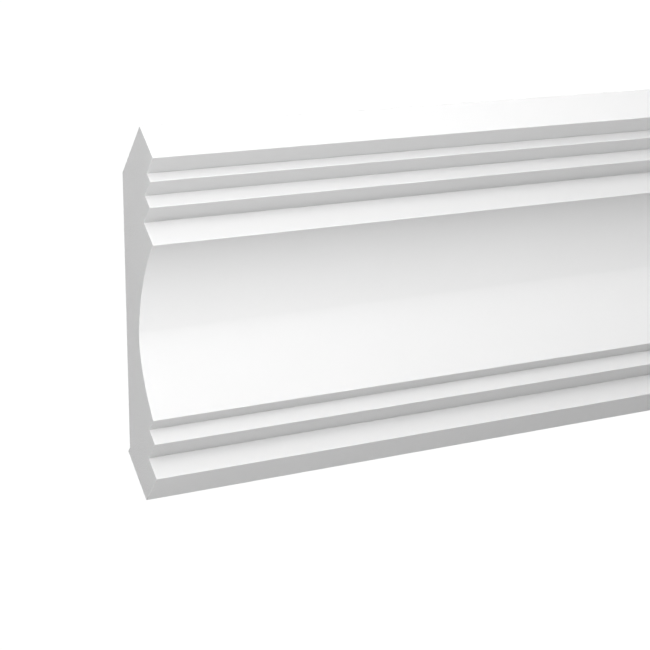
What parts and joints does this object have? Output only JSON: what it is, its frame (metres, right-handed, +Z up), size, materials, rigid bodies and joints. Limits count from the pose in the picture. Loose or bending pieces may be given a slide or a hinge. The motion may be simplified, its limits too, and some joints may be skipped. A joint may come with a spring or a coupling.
{
  "type": "cornice moulding",
  "caption": "Straight cornice moulding with stepped fascias above and below a deep cove, square-cut ends, a flat sloping back and flat faces that bear on wall and ceiling.",
  "frame": {"origin": "centre of the upright face that lies on the wall, at the middle of the length", "axes": "+Y towards the wall, +Z up to the ceiling, +X along the length, to the right as seen from the room"},
  "size_m": [1, 0.14, 0.12],
  "materials": {
    "primed_white": "white factory primer on rigid foam, matt and smooth"
  },
  "bodies": {
    "root": {"cornice_moulding": "primed_white"}
  },
  "joints": []
}
